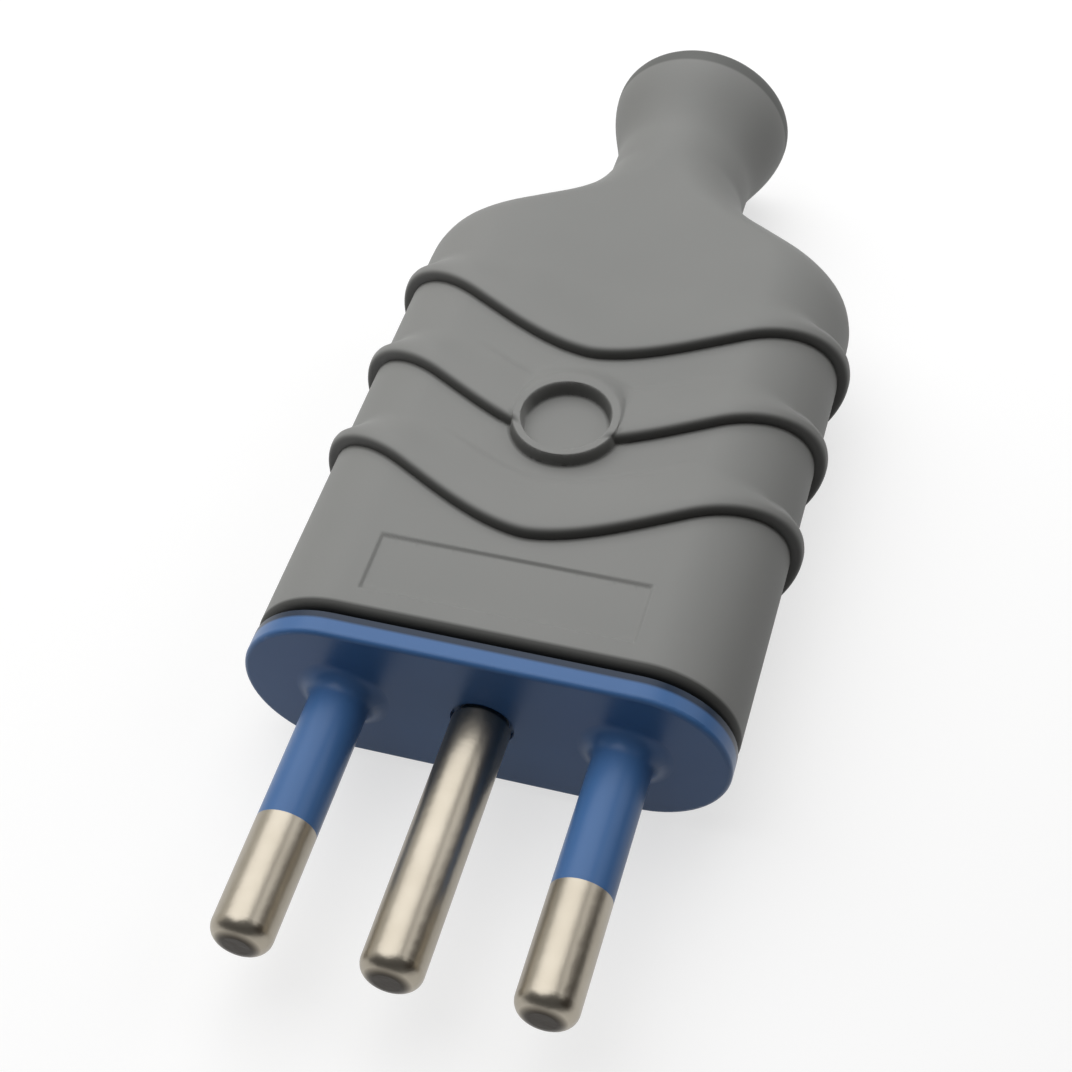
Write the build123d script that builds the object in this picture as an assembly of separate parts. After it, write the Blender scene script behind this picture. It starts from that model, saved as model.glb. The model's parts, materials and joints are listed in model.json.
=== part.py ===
from build123d import *
import math
import os

# A rewirable three-pin in-line mains plug: a soft moulded cover pushed over a hard insert that
# carries three round pins, their wire terminals, a lid over them and a cord clamp.
# Frame: millimetres. The origin is the point where the middle (earth) pin leaves the pin face.
# +X runs along the row of pins, +Y from the pin face to the cord neck, +Z out of the broad front.

# Pins
pin_pitch = 9.5
pin_diameter = 4.0
pin_length = 19.0
pin_tip_fillet = 1.1
sleeved_shank_diameter = 3.0
earth_shank_diameter = 3.4
earth_shank_above_face = 0.2
earth_recess_diameter = 4.3
earth_recess_depth = 0.4
sleeve_length = 10.5
sleeve_root_fillet = 1.2

# Wire terminals, turned in one piece with the pins
barrel_diameter = 6.0
barrel_length = 12.5
barrel_edge_chamfer = 0.4
wire_bore_diameter = 2.8
wire_bore_depth = 9.5
terminal_screw_diameter = 3.0
terminal_screw_length = 2.6
terminal_screw_from_end = 4.4
screw_slot_width = 0.6
screw_slot_depth = 0.7
screw_head_rounding = 0.35

# Outline that the flange and the cover share
body_width = 32.8
body_thickness = 12.6

# Insert
flange_thickness = 1.75
flange_edge_fillet = 0.35
shadow_gap = 0.5
front_block_length = 4.3
channel_clearance = 0.2
channel_tail = 1.0
chamber_length = 6.0
chamber_half_width = 12.2
chamber_rear_wall = 1.5
lid_seat_above_barrel = 0.1
lid_end_clearance = 0.12
lid_screw_x = 7.5
lid_screw_boss_diameter = 4.4
lid_screw_diameter = 2.2
lid_hole_depth = 6.5
lid_screw_length = 5.5
lid_screw_head_diameter = 3.6
lid_screw_head_height = 0.9
retaining_ridge_height = 0.45
retaining_ridge_width = 0.9
retaining_ridge_length = 18.0
retaining_ridge_from_flange = 1.9

# Cord clamp
cord_diameter = 7.0
tail_width = 20.0
tail_length = 10.0
tail_top_below_axis = 0.3
clamp_bar_width = 5.0
clamp_bar_gap = 0.05
clamp_squeeze = 0.8
clamp_screw_x = 7.0
clamp_screw_diameter = 3.0
clamp_screw_head_diameter = 4.8
clamp_screw_head_height = 1.7
clamp_nut_width = 5.0
clamp_nut_height = 1.8
clamp_nut_corner = 0.5
clamp_screw_past_nut = 0.3

# Cover
cover_wall = 1.5
insert_clearance = 0.15
mouth_edge_fillet = 0.3
body_past_ribs = 0.9
shoulder_length = 14.5
neck_length = 2.5
neck_diameter = 11.0
cord_bore_diameter = 7.4
rim_diameter = 14.4
flare_length = 8.3
rim_edge_fillet = 1.2
bore_mouth_fillet = 0.8

# Grip ribs: beads that wave twice round the body
rib_pitch = 8.5
first_rib_y = 11.5
rib_count = 3
rib_rise = 7.5
rib_height = 0.8
rib_width = 2.2
rib_edge_fillet = 0.72
rib_wave_sharpness = 1.7
rib_wave_points = 7

# Ring on the middle rib, with a thumb recess in it
ring_y = 21.1
ring_diameter = 7.8
ring_band = 0.85
ring_height = 0.95
ring_recess_depth = 0.15
ring_edge_fillet = 0.35

# Shallow blank name plate under the ribs
plate_width = 18.4
plate_height = 4.8
plate_y = 6.5
plate_depth = 0.2

clearance = 0.05
same_place = 0.001

# How the body is drawn in to the neck: share of the way, of the width and of the thickness
shoulder_shape = [
    (0.0, 1.0, 1.0),
    (0.08, 1.0, 0.99),
    (0.17, 0.99, 0.92),
    (0.28, 0.935, 0.72),
    (0.38, 0.81, 0.45),
    (0.48, 0.61, 0.15),
    (0.59, 0.375, -0.1),
    (0.69, 0.21, -0.2),
    (0.79, 0.105, -0.2),
    (0.9, 0.035, -0.1),
    (1.0, 0.0, 0.0),
]
neck_flat = 0.8

# Places worked out from the sizes above
half_width = body_width / 2
half_thickness = body_thickness / 2
mouth_y = flange_thickness + shadow_gap
barrel_y = flange_thickness + front_block_length
barrel_end_y = barrel_y + barrel_length
channel_end_y = barrel_end_y + channel_tail
chamber_end_y = channel_end_y + chamber_length
core_end_y = chamber_end_y + chamber_rear_wall
tail_end_y = core_end_y + tail_length
cavity_half_width = half_width - cover_wall
cavity_half_thickness = half_thickness - cover_wall
core_half_width = cavity_half_width - insert_clearance
core_half_thickness = cavity_half_thickness - insert_clearance
lid_seat_z = barrel_diameter / 2 + lid_seat_above_barrel
last_rib_y = first_rib_y + (rib_count - 1) * rib_pitch
shoulder_y = last_rib_y + rib_rise + rib_width / 2 + body_past_ribs
cover_end_y = shoulder_y + shoulder_length + neck_length + flare_length
cord_radius = cord_diameter / 2
pin_x = {"live": -pin_pitch, "earth": 0.0, "neutral": pin_pitch}
terminal_screw_y = barrel_end_y - terminal_screw_from_end
lid_screw_y = (channel_end_y + chamber_end_y) / 2
clamp_y = (core_end_y + tail_end_y) / 2


def along_y(outline, y_from, y_to):
    """An outline drawn in X and Z, carried from one Y to another."""
    plane = Plane(origin=(0, y_to, 0), x_dir=(1, 0, 0), z_dir=(0, -1, 0))
    return extrude(plane * outline, y_to - y_from)


def rod_y(diameter, y_from, y_to, x=0.0, z=0.0):
    return along_y(Pos(x, z) * Circle(diameter / 2), y_from, y_to)


def rod_z(diameter, x, y, z_from, z_to):
    base = (Align.CENTER, Align.CENTER, Align.MIN)
    return Pos(x, y, z_from) * Cylinder(diameter / 2, z_to - z_from, align=base)


def block(x_from, x_to, y_from, y_to, z_from, z_to):
    low = (Align.MIN, Align.MIN, Align.MIN)
    return Pos(x_from, y_from, z_from) * Box(x_to - x_from, y_to - y_from, z_to - z_from, align=low)


def corner_arc(centre, radius, turn_from, turn_to):
    """A rounded corner between two directions, in degrees from +X."""
    turns = [math.radians(t) for t in (turn_from, (turn_from + turn_to) / 2, turn_to)]
    x, y = centre
    return ThreePointArc(*[(x + radius * math.cos(t), y + radius * math.sin(t)) for t in turns])


# Pins with their wire terminals
def contact_pin(x, sleeved):
    radius = pin_diameter / 2
    tip_y = -pin_length
    shank_radius = (sleeved_shank_diameter if sleeved else earth_shank_diameter) / 2
    shank_y = -sleeve_length if sleeved else -earth_shank_above_face
    barrel_radius = barrel_diameter / 2
    nose = corner_arc((radius - pin_tip_fillet, tip_y + pin_tip_fillet), pin_tip_fillet, -90, 0)
    steps = [
        nose @ 1,
        (radius, shank_y),
        (shank_radius, shank_y),
        (shank_radius, barrel_y),
        (barrel_radius - barrel_edge_chamfer, barrel_y),
        (barrel_radius, barrel_y + barrel_edge_chamfer),
        (barrel_radius, barrel_end_y - barrel_edge_chamfer),
        (barrel_radius - barrel_edge_chamfer, barrel_end_y),
        (0, barrel_end_y),
        (0, tip_y),
        nose @ 0,
    ]
    outline = make_face([nose] + Polyline(*steps).edges())
    pin = revolve(outline, Axis.Y)
    pin -= rod_y(wire_bore_diameter, barrel_end_y - wire_bore_depth, barrel_end_y)
    pin -= rod_z(terminal_screw_diameter + 2 * clearance, 0, terminal_screw_y, 0, barrel_radius)
    return Pos(x, 0, 0) * pin


def terminal_screw(x):
    top = lid_seat_z - lid_seat_above_barrel - clearance
    screw = rod_z(terminal_screw_diameter, x, terminal_screw_y, top - terminal_screw_length, top)
    half_slot = screw_slot_width / 2
    reach = terminal_screw_diameter
    return screw - block(
        x - reach,
        x + reach,
        terminal_screw_y - half_slot,
        terminal_screw_y + half_slot,
        top - screw_slot_depth,
        top,
    )


def headed_screw(x, y, shank_diameter, head_diameter, head_height, z_from, head_z):
    """A pan-head screw with a straight slot; head_z is the plane its head rests on."""
    screw = rod_z(shank_diameter, x, y, z_from, head_z)
    head = rod_z(head_diameter, x, y, head_z, head_z + head_height)
    screw += fillet(head.faces().sort_by(Axis.Z)[-1].edges(), head_height * screw_head_rounding)
    top = head_z + head_height
    half_slot = screw_slot_width / 2
    return screw - block(
        x - head_diameter,
        x + head_diameter,
        y - half_slot,
        y + half_slot,
        top - screw_slot_depth,
        top,
    )


# Insert: flange, pin sleeves, terminal channels, wiring chamber and clamp tail in one moulding
def core_outline():
    return SlotOverall(2 * core_half_width, 2 * core_half_thickness)


def retaining_ridges(half_height, y_extra=0.0, z_extra=0.0):
    """Two low ridges, one on each broad side, that the cover snaps over."""
    y_middle = flange_thickness + retaining_ridge_from_flange
    half_y = retaining_ridge_width / 2 + y_extra
    half_x = retaining_ridge_length / 2 + y_extra
    top = half_height + retaining_ridge_height + z_extra
    return block(-half_x, half_x, y_middle - half_y, y_middle + half_y, -top, top)


def pin_sleeve(x):
    radius = pin_diameter / 2
    root = sleeve_root_fillet
    arc = ThreePointArc(
        (radius, -root),
        (radius + root * (1 - math.cos(math.pi / 4)), -root * (1 - math.sin(math.pi / 4))),
        (radius + root, 0),
    )
    steps = Polyline(
        (radius + root, 0), (0, 0), (0, -sleeve_length), (radius, -sleeve_length), (radius, -root)
    )
    return Pos(x, 0, 0) * revolve(make_face([arc] + steps.edges()), Axis.Y)


def cord_groove(radius, y_from, y_to, z):
    return rod_y(2 * radius, y_from, y_to, 0, z)


def insert_base(pins):
    flange = along_y(SlotOverall(body_width, body_thickness), 0, flange_thickness)
    flange = fillet(flange.edges().filter_by(lambda e: abs(e.center().Y) < same_place), flange_edge_fillet)
    base = flange + along_y(core_outline(), flange_thickness, core_end_y)
    base += retaining_ridges(core_half_thickness)
    for x in (pin_x["live"], pin_x["neutral"]):
        base += pin_sleeve(x)
    tail = along_y(core_outline(), core_end_y, tail_end_y)
    tail &= block(
        -tail_width / 2, tail_width / 2, core_end_y, tail_end_y, -half_thickness, -tail_top_below_axis
    )
    base += tail
    base -= rod_y(earth_recess_diameter, 0, earth_recess_depth)
    base -= block(-half_width, half_width, barrel_y, core_end_y, lid_seat_z, half_thickness)
    channel_diameter = barrel_diameter + 2 * channel_clearance
    for x in pin_x.values():
        base -= rod_y(channel_diameter, barrel_y, channel_end_y, x)
        half_channel = channel_diameter / 2
        base -= block(x - half_channel, x + half_channel, barrel_y, channel_end_y, 0, lid_seat_z)
    chamber = block(
        -chamber_half_width,
        chamber_half_width,
        channel_end_y,
        chamber_end_y,
        -channel_diameter / 2,
        lid_seat_z,
    )
    for side in (-1, 1):
        chamber -= rod_z(
            lid_screw_boss_diameter, side * lid_screw_x, lid_screw_y, -channel_diameter / 2, lid_seat_z
        )
    base -= chamber
    base -= cord_groove(cord_radius, chamber_end_y, tail_end_y, 0)
    base -= block(-cord_radius, cord_radius, chamber_end_y, core_end_y, 0, lid_seat_z)
    for side in (-1, 1):
        base -= rod_z(
            lid_screw_diameter + 2 * clearance,
            side * lid_screw_x,
            lid_screw_y,
            lid_seat_z - lid_hole_depth,
            lid_seat_z,
        )
        base -= clamp_nut_pocket(side)
    for pin in pins:
        base -= pin
    return base


def insert_lid():
    lid = along_y(core_outline(), barrel_y + lid_end_clearance, core_end_y)
    lid &= block(
        -half_width, half_width, barrel_y + lid_end_clearance, core_end_y, lid_seat_z, half_thickness
    )
    for side in (-1, 1):
        x = side * lid_screw_x
        lid -= rod_z(lid_screw_diameter + 2 * clearance, x, lid_screw_y, lid_seat_z, half_thickness)
        lid -= rod_z(
            lid_screw_head_diameter + 4 * clearance, x, lid_screw_y, lid_screw_head_z(), half_thickness
        )
    return lid


def lid_screw_head_z():
    """The lid's skin is curved at the screws, so the head seat is set down from it there."""
    past_flat = max(lid_screw_x + lid_screw_head_diameter / 2 - (core_half_width - core_half_thickness), 0)
    skin_z = math.sqrt(core_half_thickness**2 - past_flat**2)
    return skin_z - lid_screw_head_height - clearance


def lid_screw(side):
    head_z = lid_screw_head_z()
    return headed_screw(
        side * lid_screw_x,
        lid_screw_y,
        lid_screw_diameter,
        lid_screw_head_diameter,
        lid_screw_head_height,
        head_z - lid_screw_length,
        head_z,
    )


# Cord clamp
def clamp_bar_bottom_z():
    return clamp_bar_gap - tail_top_below_axis


def clamp_head_seat_z():
    return core_half_thickness - clamp_screw_head_height - clearance


def clamp_nut_top_z():
    return -core_half_thickness + clamp_nut_height + clamp_screw_past_nut + clearance


def clamp_nut_pocket(side):
    half_nut = clamp_nut_width / 2 + clearance
    x = side * clamp_screw_x
    pocket = block(
        x - half_nut, x + half_nut, clamp_y - half_nut, clamp_y + half_nut,
        -half_thickness, clamp_nut_top_z(),
    )
    return pocket + rod_z(clamp_screw_diameter + 2 * clearance, x, clamp_y, -half_thickness, 0)


def clamp_nut(side):
    half_nut = clamp_nut_width / 2
    x = side * clamp_screw_x
    top = clamp_nut_top_z()
    nut = block(
        x - half_nut, x + half_nut, clamp_y - half_nut, clamp_y + half_nut, top - clamp_nut_height, top
    )
    nut = chamfer(nut.edges().filter_by(Axis.Z), clamp_nut_corner)
    return nut - rod_z(clamp_screw_diameter + 2 * clearance, x, clamp_y, -half_thickness, 0)


def clamp_screw(side):
    return headed_screw(
        side * clamp_screw_x,
        clamp_y,
        clamp_screw_diameter,
        clamp_screw_head_diameter,
        clamp_screw_head_height,
        clamp_nut_top_z() - clamp_nut_height - clamp_screw_past_nut,
        clamp_head_seat_z(),
    )


def cord_clamp_bar():
    half_bar = clamp_bar_width / 2
    bar = along_y(core_outline(), clamp_y - half_bar, clamp_y + half_bar)
    bar &= block(
        -tail_width / 2,
        tail_width / 2,
        clamp_y - half_bar,
        clamp_y + half_bar,
        clamp_bar_bottom_z(),
        half_thickness,
    )
    bar -= cord_groove(cord_radius, clamp_y - half_bar, clamp_y + half_bar, -clamp_squeeze)
    for side in (-1, 1):
        x = side * clamp_screw_x
        bar -= rod_z(clamp_screw_diameter + 4 * clearance, x, clamp_y, -half_thickness, half_thickness)
        bar -= rod_z(
            clamp_screw_head_diameter + 4 * clearance, x, clamp_y, clamp_head_seat_z(), half_thickness
        )
    return bar


# Cover
def section_face(y, half_w, half_h):
    """Two straight broad sides with round ends, or very nearly a circle where the neck begins."""
    straight = max(half_w - half_h, 0)
    flat = max(straight, neck_flat)
    end_z = math.sqrt(half_h**2 - (flat - straight) ** 2)
    top_left, top_right = (-flat, y, end_z), (flat, y, end_z)
    low_left, low_right = (-flat, y, -end_z), (flat, y, -end_z)
    if end_z < half_h:
        top = ThreePointArc(top_left, (0, y, half_h), top_right)
        low = ThreePointArc(low_right, (0, y, -half_h), low_left)
    else:
        top = Line(top_left, top_right)
        low = Line(low_right, low_left)
    right = ThreePointArc(top_right, (half_w, y, 0), low_right)
    left = ThreePointArc(low_left, (-half_w, y, 0), top_left)
    return Face(Wire([top, right, low, left]))


def shoulder(wall):
    """The body drawn in to the neck; wall is how far inside the outer skin it is drawn."""
    neck_radius = neck_diameter / 2
    faces = []
    for along, width_share, height_share in shoulder_shape:
        half_w = neck_radius + width_share * (half_width - neck_radius)
        half_h = neck_radius + height_share * (half_thickness - neck_radius)
        faces.append(section_face(shoulder_y + along * shoulder_length, half_w - wall, half_h - wall))
    return loft(faces)


def wave_line(y_middle):
    """The wave seen from the front: its height depends on the way round the body's outline."""
    straight = half_width - half_thickness
    quarter = straight + math.pi * half_thickness / 2
    right = []
    for i in range(rib_wave_points):
        way = quarter * i / (rib_wave_points - 1)
        turn = max(way - straight, 0) / half_thickness
        x = min(way, straight) + half_thickness * math.sin(turn)
        rise = rib_rise * math.sin(math.pi / 2 * way / quarter) ** rib_wave_sharpness
        right.append((x, y_middle + rise))
    (x_1, y_1), (x_2, y_2) = right[-2:]
    past_side = (x_2 + rib_width, y_2 + rib_width * (y_2 - y_1) / (x_2 - x_1))
    right.append(past_side)
    left = [(-x, y) for x, y in reversed(right[1:])]
    return Spline(*left, *right)


def grip_rib(y_middle):
    """A wavy band through the whole body, kept only as far out as the rib stands."""
    low = wave_line(y_middle - rib_width / 2)
    high = wave_line(y_middle + rib_width / 2)
    ends = [Line(low @ 0, high @ 0), Line(low @ 1, high @ 1)]
    band = extrude(make_face([low, high] + ends), body_thickness, both=True)
    grown = SlotOverall(body_width + 2 * rib_height, body_thickness + 2 * rib_height)
    return band & along_y(grown, mouth_y, shoulder_y)


def on_crest(edge):
    """Whether an edge lies on the ribs' outer skin."""
    middle = edge @ 0.5
    past_flat = max(abs(middle.X) - (half_width - half_thickness), 0)
    return abs(math.hypot(past_flat, middle.Z) - half_thickness - rib_height) < same_place


def ribbed_body():
    body = along_y(SlotOverall(body_width, body_thickness), mouth_y, shoulder_y)
    at_mouth = body.edges().filter_by(lambda e: abs(e.center().Y - mouth_y) < same_place)
    body = fillet(at_mouth, mouth_edge_fillet)
    for i in range(rib_count):
        body += grip_rib(first_rib_y + i * rib_pitch)
    return fillet(body.edges().filter_by(on_crest), rib_edge_fillet)


def neck():
    neck_y = shoulder_y + shoulder_length
    neck_radius = neck_diameter / 2
    rim_radius = rim_diameter / 2
    bore_radius = cord_bore_diameter / 2
    lip = corner_arc((rim_radius - rim_edge_fillet, cover_end_y - rim_edge_fillet), rim_edge_fillet, 0, 90)
    mouth_centre = (bore_radius + bore_mouth_fillet, cover_end_y - bore_mouth_fillet)
    mouth = corner_arc(mouth_centre, bore_mouth_fillet, 90, 180)
    flare = Spline((neck_radius, neck_y + neck_length), lip @ 0, tangents=[(0, 1), (0, 1)])
    rest = Polyline(
        mouth @ 1, (bore_radius, neck_y), (neck_radius, neck_y), (neck_radius, neck_y + neck_length)
    )
    return revolve(make_face([flare, lip, Line(lip @ 1, mouth @ 0), mouth] + rest.edges()), Axis.Y)


def thumb_ring():
    floor_z = half_thickness - ring_recess_depth
    top_z = half_thickness + ring_height
    ring = rod_z(ring_diameter, 0, ring_y, floor_z, top_z)
    ring -= rod_z(ring_diameter - 2 * ring_band, 0, ring_y, floor_z, top_z)
    return fillet(ring.faces().sort_by(Axis.Z)[-1].edges(), ring_edge_fillet)


def cover():
    shell = ribbed_body() + shoulder(0)
    shell -= along_y(SlotOverall(2 * cavity_half_width, 2 * cavity_half_thickness), 0, shoulder_y)
    shell -= shoulder(cover_wall)
    shell -= rod_y(cord_bore_diameter, shoulder_y, cover_end_y)
    shell -= retaining_ridges(core_half_thickness, clearance, 2 * clearance)
    shell -= rod_z(ring_diameter, 0, ring_y, half_thickness - ring_recess_depth, body_thickness)
    shell += thumb_ring()
    shell -= block(
        -plate_width / 2,
        plate_width / 2,
        plate_y - plate_height / 2,
        plate_y + plate_height / 2,
        half_thickness - plate_depth,
        body_thickness,
    )
    return shell + neck()


os.makedirs("parts", exist_ok=True)
pins = {name: contact_pin(x, name != "earth") for name, x in pin_x.items()}
nodes = {f"{name}_pin": pin for name, pin in pins.items()}
nodes["cover"] = cover()
nodes["insert_base"] = insert_base(pins.values())
nodes["insert_lid"] = insert_lid()
nodes["cord_clamp_bar"] = cord_clamp_bar()
for name, x in pin_x.items():
    nodes[f"{name}_terminal_screw"] = terminal_screw(x)
for label, side in (("left", -1), ("right", 1)):
    nodes[f"{label}_lid_screw"] = lid_screw(side)
    nodes[f"{label}_clamp_screw"] = clamp_screw(side)
    nodes[f"{label}_clamp_nut"] = clamp_nut(side)
for name, solid in nodes.items():
    export_step(solid, f"parts/{name}.step")
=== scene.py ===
import json
import math

import bmesh
import bpy
from mathutils import Matrix, Vector


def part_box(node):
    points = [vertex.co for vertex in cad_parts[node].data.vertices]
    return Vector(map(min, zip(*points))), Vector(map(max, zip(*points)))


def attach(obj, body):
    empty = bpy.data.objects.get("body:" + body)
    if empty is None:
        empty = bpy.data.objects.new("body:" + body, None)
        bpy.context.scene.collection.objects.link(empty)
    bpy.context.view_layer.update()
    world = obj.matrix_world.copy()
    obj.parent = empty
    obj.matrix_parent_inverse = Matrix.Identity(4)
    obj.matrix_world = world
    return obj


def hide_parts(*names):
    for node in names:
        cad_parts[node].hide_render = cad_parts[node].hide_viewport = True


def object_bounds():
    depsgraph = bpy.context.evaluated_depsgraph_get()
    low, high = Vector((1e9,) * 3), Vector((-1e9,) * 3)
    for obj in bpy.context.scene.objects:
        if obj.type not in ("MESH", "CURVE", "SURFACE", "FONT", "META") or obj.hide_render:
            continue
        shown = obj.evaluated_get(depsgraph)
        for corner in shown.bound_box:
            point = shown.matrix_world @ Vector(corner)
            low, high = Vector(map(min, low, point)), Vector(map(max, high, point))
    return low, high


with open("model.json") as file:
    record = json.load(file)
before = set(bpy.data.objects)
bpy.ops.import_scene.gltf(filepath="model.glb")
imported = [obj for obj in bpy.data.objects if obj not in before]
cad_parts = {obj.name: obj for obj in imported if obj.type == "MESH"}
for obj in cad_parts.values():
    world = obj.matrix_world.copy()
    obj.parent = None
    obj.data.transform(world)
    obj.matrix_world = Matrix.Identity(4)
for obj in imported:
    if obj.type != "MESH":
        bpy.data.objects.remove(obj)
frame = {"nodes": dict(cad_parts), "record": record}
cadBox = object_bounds()
nodes = frame["nodes"]
mm = 0.001
print("frame loaded:", len(nodes), "CAD nodes")


# Adds one node; an input given as a socket is linked, any other value is set
def addNode(tree, kind, inputs=None, **settings):
    node = tree.nodes.new(kind)
    for name, value in settings.items():
        setattr(node, name, value)
    for name, value in (inputs or {}).items():
        if isinstance(value, bpy.types.NodeSocket):
            tree.links.new(value, node.inputs[name])
        else:
            node.inputs[name].default_value = value
    return node


# sRGB hex to linear colour
def linearColour(hexCode):
    parts = [int(hexCode[i:i + 2], 16) / 255 for i in (1, 3, 5)]
    return [v / 12.92 if v <= 0.04045 else ((v + 0.055) / 1.055) ** 2.4 for v in parts] + [1.0]


def newMaterial(name):
    material = bpy.data.materials.new(name)
    material.use_nodes = True
    material.node_tree.nodes.clear()
    return material, material.node_tree


# Two colours of one material, in soft patches of a real size
def patchedColour(tree, place, finish):
    noise = addNode(tree, "ShaderNodeTexNoise", {"Vector": place, "Scale": 1 / finish["patch"],
                                                 "Detail": finish["patchDetail"]})
    return addNode(tree, "ShaderNodeMix", {"Factor": noise.outputs["Fac"],
                                           6: linearColour(finish["patchColour"]),
                                           7: linearColour(finish["colour"])}, data_type="RGBA").outputs[2]


# A slight unevenness: noise of a real size, as a bump of a real depth
def unevenNormal(tree, place, size, depth, strength):
    noise = addNode(tree, "ShaderNodeTexNoise", {"Vector": place, "Scale": 1 / size, "Detail": 2.0})
    return addNode(tree, "ShaderNodeBump", {"Height": noise.outputs["Fac"], "Strength": strength,
                                            "Distance": depth}).outputs["Normal"]


# Soft PVC, injection moulded against a spark-eroded tool: matt, with a very fine grain, painted shade on the
# rounding of the rim and painted shade under the ribs, round the ring and in the mouth
softPvc = {
    "colour": "#90908e",
    "patchColour": "#878886",
    "patch": 14 * mm,
    "patchDetail": 2.0,
    # the rim's colour is painted shade on the rounding of the rim
    "rimShadeColour": "#6c6d6b",
    "rim": 61.3 * mm,
    "rimFade": 0.2 * mm,
    # painted shade under the ribs, round the ring and at the mouth
    "shadeColour": "#30302e",
    "mouth": 2.7 * mm,
    "mouthFade": 0.25 * mm,
    "mouthShade": 0.85,
    "roughness": 0.56,
    "specular": 0.3,
    "ior": 1.5,
    "grain": 0.2 * mm,  # coarser than the real grain, so that it shows
    "grainDepth": 0.01 * mm,
    "grainStrength": 0.5,
}


def makeSoftPvc():
    material, tree = newMaterial("softPvcMoulded")
    place = addNode(tree, "ShaderNodeTexCoord").outputs["Object"]
    height = addNode(tree, "ShaderNodeSeparateXYZ", {0: place}).outputs[1]
    # painted shade: the rounding of the rim is coloured darker
    onRim = addNode(tree, "ShaderNodeMapRange", {
        "Value": height, "From Min": softPvc["rim"],
        "From Max": softPvc["rim"] + softPvc["rimFade"]}).outputs[0]
    rimShaded = addNode(tree, "ShaderNodeMix", {"Factor": onRim, 6: patchedColour(tree, place, softPvc),
                                           7: linearColour(softPvc["rimShadeColour"])}, data_type="RGBA")
    # painted shade at the edge of the mouth, where the gap behind the flange lies
    atMouth = addNode(tree, "ShaderNodeMapRange", {
        "Value": height, "From Min": softPvc["mouth"] + softPvc["mouthFade"],
        "From Max": softPvc["mouth"], "To Max": softPvc["mouthShade"]}).outputs[0]
    # painted shade under the ribs and round the ring, read from the crease attribute
    crease = addNode(tree, "ShaderNodeAttribute", attribute_name="crease").outputs["Fac"]
    paintedShade = addNode(tree, "ShaderNodeMath", {0: crease, 1: atMouth}, operation="MAXIMUM").outputs[0]
    shaded = addNode(tree, "ShaderNodeMix", {"Factor": paintedShade, 6: rimShaded.outputs[2],
                                            7: linearColour(softPvc["shadeColour"])}, data_type="RGBA")
    grained = unevenNormal(tree, place, softPvc["grain"], softPvc["grainDepth"], softPvc["grainStrength"])
    shader = addNode(tree, "ShaderNodeBsdfPrincipled",
                     {"Base Color": shaded.outputs[2], "Normal": grained, "Roughness": softPvc["roughness"],
                      "Specular IOR Level": softPvc["specular"], "IOR": softPvc["ior"]})
    addNode(tree, "ShaderNodeOutputMaterial", {"Surface": shader.outputs["BSDF"]})
    return material


# Polyamide, injection moulded in a polished tool: semi-gloss, coloured right through, with painted
# shade in the gap behind the flange
polyamide = {
    "colour": "#4a73a8",
    "patchColour": "#446ca1",
    "patch": 6 * mm,
    "patchDetail": 2.0,
    # painted shade in the gap behind the flange
    "shadeColour": "#19222e",
    "shadeFrom": 1.35 * mm,
    "shadeTo": 3.0 * mm,
    "shadeFade": 0.2 * mm,
    "shadeShare": 0.9,
    "roughness": 0.32,
    "specular": 0.26,
    "ior": 1.53,
    "ripple": 1.4 * mm,
    "rippleDepth": 0.012 * mm,
    "rippleStrength": 0.4,
}


def makePolyamide():
    material, tree = newMaterial("polyamideMoulded")
    place = addNode(tree, "ShaderNodeTexCoord").outputs["Object"]
    height = addNode(tree, "ShaderNodeSeparateXYZ", {0: place}).outputs[1]
    # painted shade on the flange's rear edge and on the core inside the mouth, where the gap lies
    pastFlange = addNode(tree, "ShaderNodeMapRange", {
        "Value": height, "From Min": polyamide["shadeFrom"] - polyamide["shadeFade"],
        "From Max": polyamide["shadeFrom"]}).outputs[0]
    insideMouth = addNode(tree, "ShaderNodeMapRange", {
        "Value": height, "From Min": polyamide["shadeTo"] + polyamide["shadeFade"],
        "From Max": polyamide["shadeTo"]}).outputs[0]
    inGap = addNode(tree, "ShaderNodeMath", {0: pastFlange, 1: insideMouth},
                    operation="MULTIPLY").outputs[0]
    paintedShade = addNode(tree, "ShaderNodeMath", {0: inGap, 1: polyamide["shadeShare"]},
                    operation="MULTIPLY").outputs[0]
    shaded = addNode(tree, "ShaderNodeMix", {"Factor": paintedShade, 6: patchedColour(tree, place, polyamide),
                                            7: linearColour(polyamide["shadeColour"])}, data_type="RGBA")
    rippled = unevenNormal(tree, place, polyamide["ripple"], polyamide["rippleDepth"],
                           polyamide["rippleStrength"])
    shader = addNode(tree, "ShaderNodeBsdfPrincipled",
                     {"Base Color": shaded.outputs[2], "Normal": rippled, "Roughness": polyamide["roughness"],
                      "Specular IOR Level": polyamide["specular"], "IOR": polyamide["ior"]})
    addNode(tree, "ShaderNodeOutputMaterial", {"Surface": shader.outputs["BSDF"]})
    return material


# Brass turned on an automatic lathe, then nickel plated: bright, slightly warm, with a painted dark
# reflection on its flat end, turning marks and shallow dents from the plating barrel that make the
# reflections waver
nickelPlate = {
    "colour": "#b3ac9f",
    "patchColour": "#a0988a",
    "patch": 3 * mm,
    "patchDetail": 3.0,
    # painted dark reflection on the flat end
    "endReflectionColour": "#2b251e",
    "end": -18.8 * mm,
    "endFade": 0.2 * mm,
    "roughness": 0.34,
    "turning": 1.885 * mm,  # coarser than the real marks, so that they show
    "turningDepth": 0.002 * mm,
    "turningStrength": 0.5,
    "turningWobble": 1.5,
    "dent": 0.8 * mm,
    "dentDepth": 0.02 * mm,
    "dentStrength": 1.0,
}
waveTurns = 20 / (2 * math.pi)  # bands that a wave texture draws in one unit at a scale of one


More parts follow.
